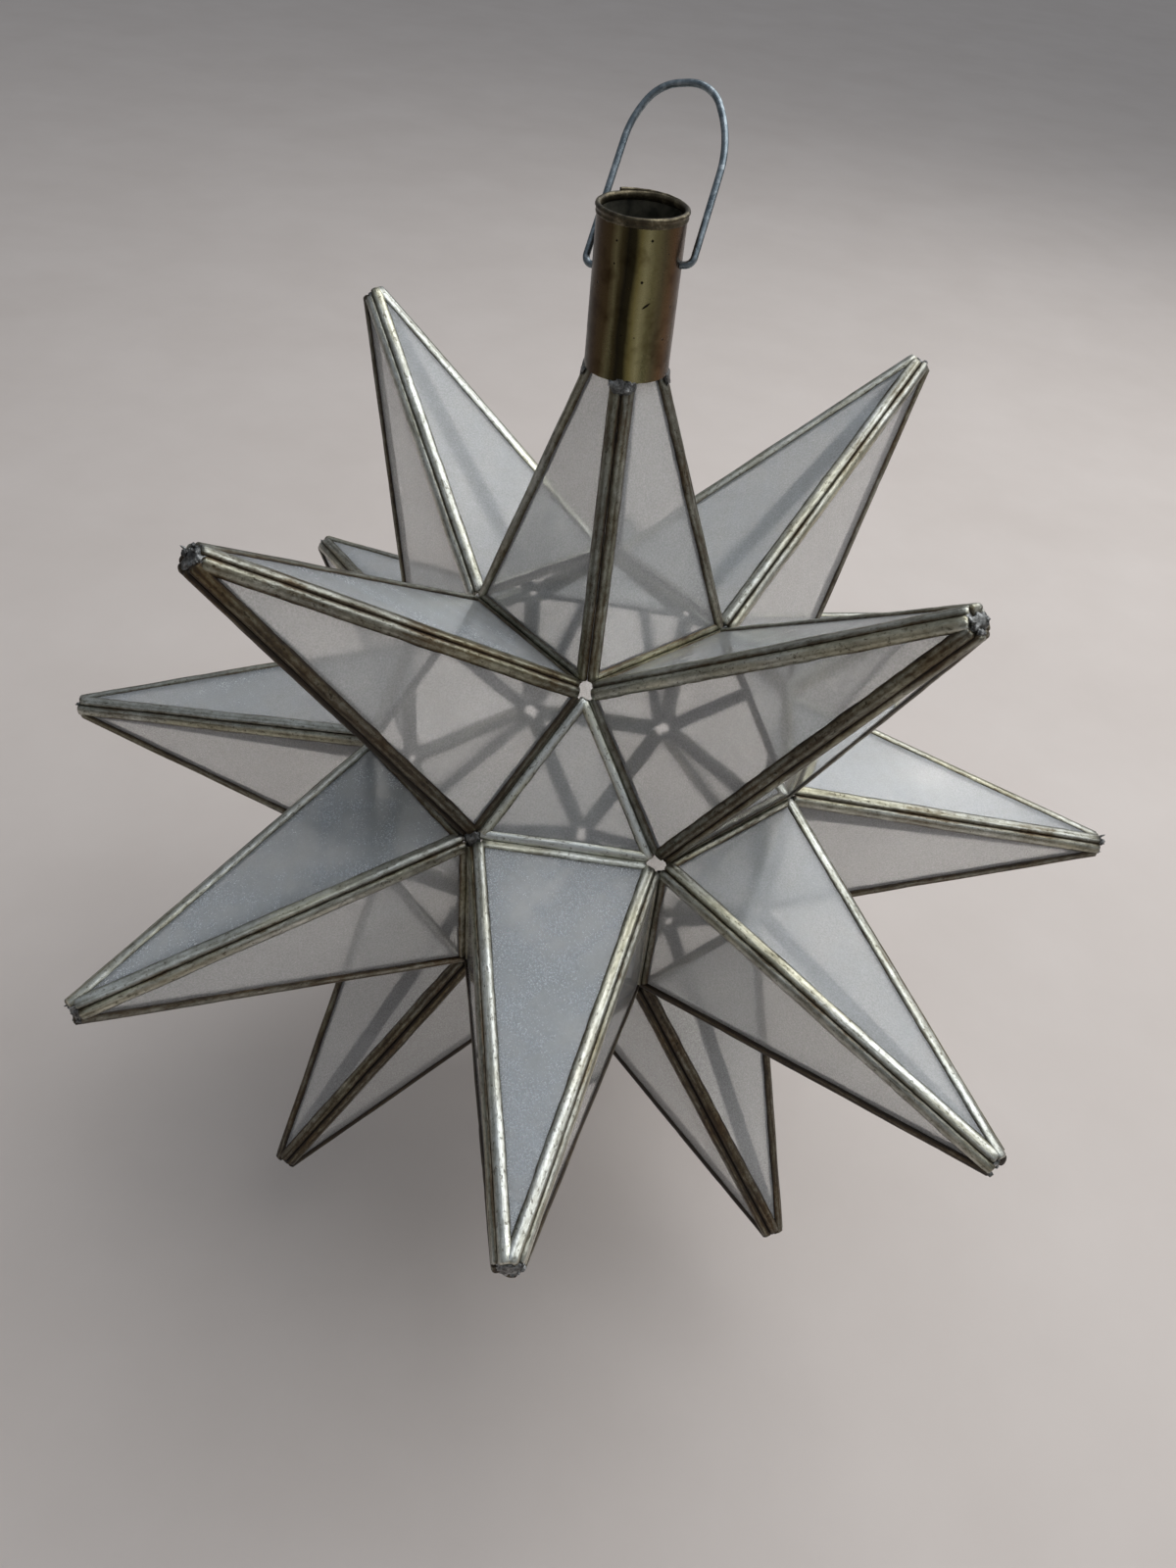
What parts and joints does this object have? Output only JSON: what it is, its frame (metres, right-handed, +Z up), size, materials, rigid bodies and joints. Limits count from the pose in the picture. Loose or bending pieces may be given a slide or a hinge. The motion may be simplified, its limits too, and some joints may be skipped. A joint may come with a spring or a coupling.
{
  "type": "star pendant light",
  "caption": "Star-shaped pendant lantern of frosted glass points in folded metal channel frames, with a tubular brass collar for a lamp holder and a swinging wire bail to hang it by.",
  "frame": {"origin": "centre of the collar tube's mouth, on the collar's axis", "axes": "+Z up along the collar's axis, -Y to the front, +X to the right"},
  "size_m": [0.392, 0.393, 0.4251],
  "materials": {
    "frosted_glass": "frosted",
    "patinated_channel": "dark patina, worn bright on the edges",
    "solder": "dull, ragged",
    "aged_brass": "aged, glossy",
    "galvanised_wire": "dull"
  },
  "bodies": {
    "lantern": {"back_left_point_frame": "patinated_channel", "back_left_point_glass": "frosted_glass", "back_point_frame": "patinated_channel", "back_point_glass": "frosted_glass", "back_right_point_frame": "patinated_channel", "back_right_point_glass": "frosted_glass", "bottom_point_frame": "patinated_channel", "bottom_point_glass": "frosted_glass", "collar_tube": "aged_brass", "foot_solder": "solder", "front_left_point_frame": "patinated_channel", "front_left_point_glass": "frosted_glass", "front_point_frame": "patinated_channel", "front_point_glass": "frosted_glass", "front_right_point_frame": "patinated_channel", "front_right_point_glass": "frosted_glass", "left_point_frame": "patinated_channel", "left_point_glass": "frosted_glass", "lower_back_corner_frame": "patinated_channel", "lower_back_corner_glass": "frosted_glass", "lower_back_left_point_frame": "patinated_channel", "lower_back_left_point_glass": "frosted_glass", "lower_back_right_point_frame": "patinated_channel", "lower_back_right_point_glass": "frosted_glass", "lower_front_corner_frame": "patinated_channel", "lower_front_corner_glass": "frosted_glass", "lower_front_left_point_frame": "patinated_channel", "lower_front_left_point_glass": "frosted_glass", "lower_front_right_point_frame": "patinated_channel", "lower_front_right_point_glass": "frosted_glass", "lower_left_corner_frame": "patinated_channel", "lower_left_corner_glass": "frosted_glass", "lower_right_corner_frame": "patinated_channel", "lower_right_corner_glass": "frosted_glass", "right_point_frame": "patinated_channel", "right_point_glass": "frosted_glass", "rim_edging": "aged_brass", "tip_solder": "solder", "top_point_frame": "patinated_channel", "top_point_glass": "frosted_glass", "upper_back_corner_frame": "patinated_channel", "upper_back_corner_glass": "frosted_glass", "upper_back_left_point_frame": "patinated_channel", "upper_back_left_point_glass": "frosted_glass", "upper_back_right_point_frame": "patinated_channel", "upper_back_right_point_glass": "frosted_glass", "upper_front_corner_frame": "patinated_channel", "upper_front_corner_glass": "frosted_glass", "upper_front_left_point_frame": "patinated_channel", "upper_front_left_point_glass": "frosted_glass", "upper_front_right_point_frame": "patinated_channel", "upper_front_right_point_glass": "frosted_glass", "upper_left_corner_frame": "patinated_channel", "upper_left_corner_glass": "frosted_glass", "upper_right_corner_frame": "patinated_channel", "upper_right_corner_glass": "frosted_glass"},
    "bail": {"bail": "galvanised_wire"}
  },
  "joints": [
    {"name": "bail_hinge", "type": "hinge", "parent": "lantern", "child": "bail", "pos_m": [0, 0, -0.015], "axis": [0.954, -0.2379, 0.1822], "range_deg": [-104, 180]}
  ]
}
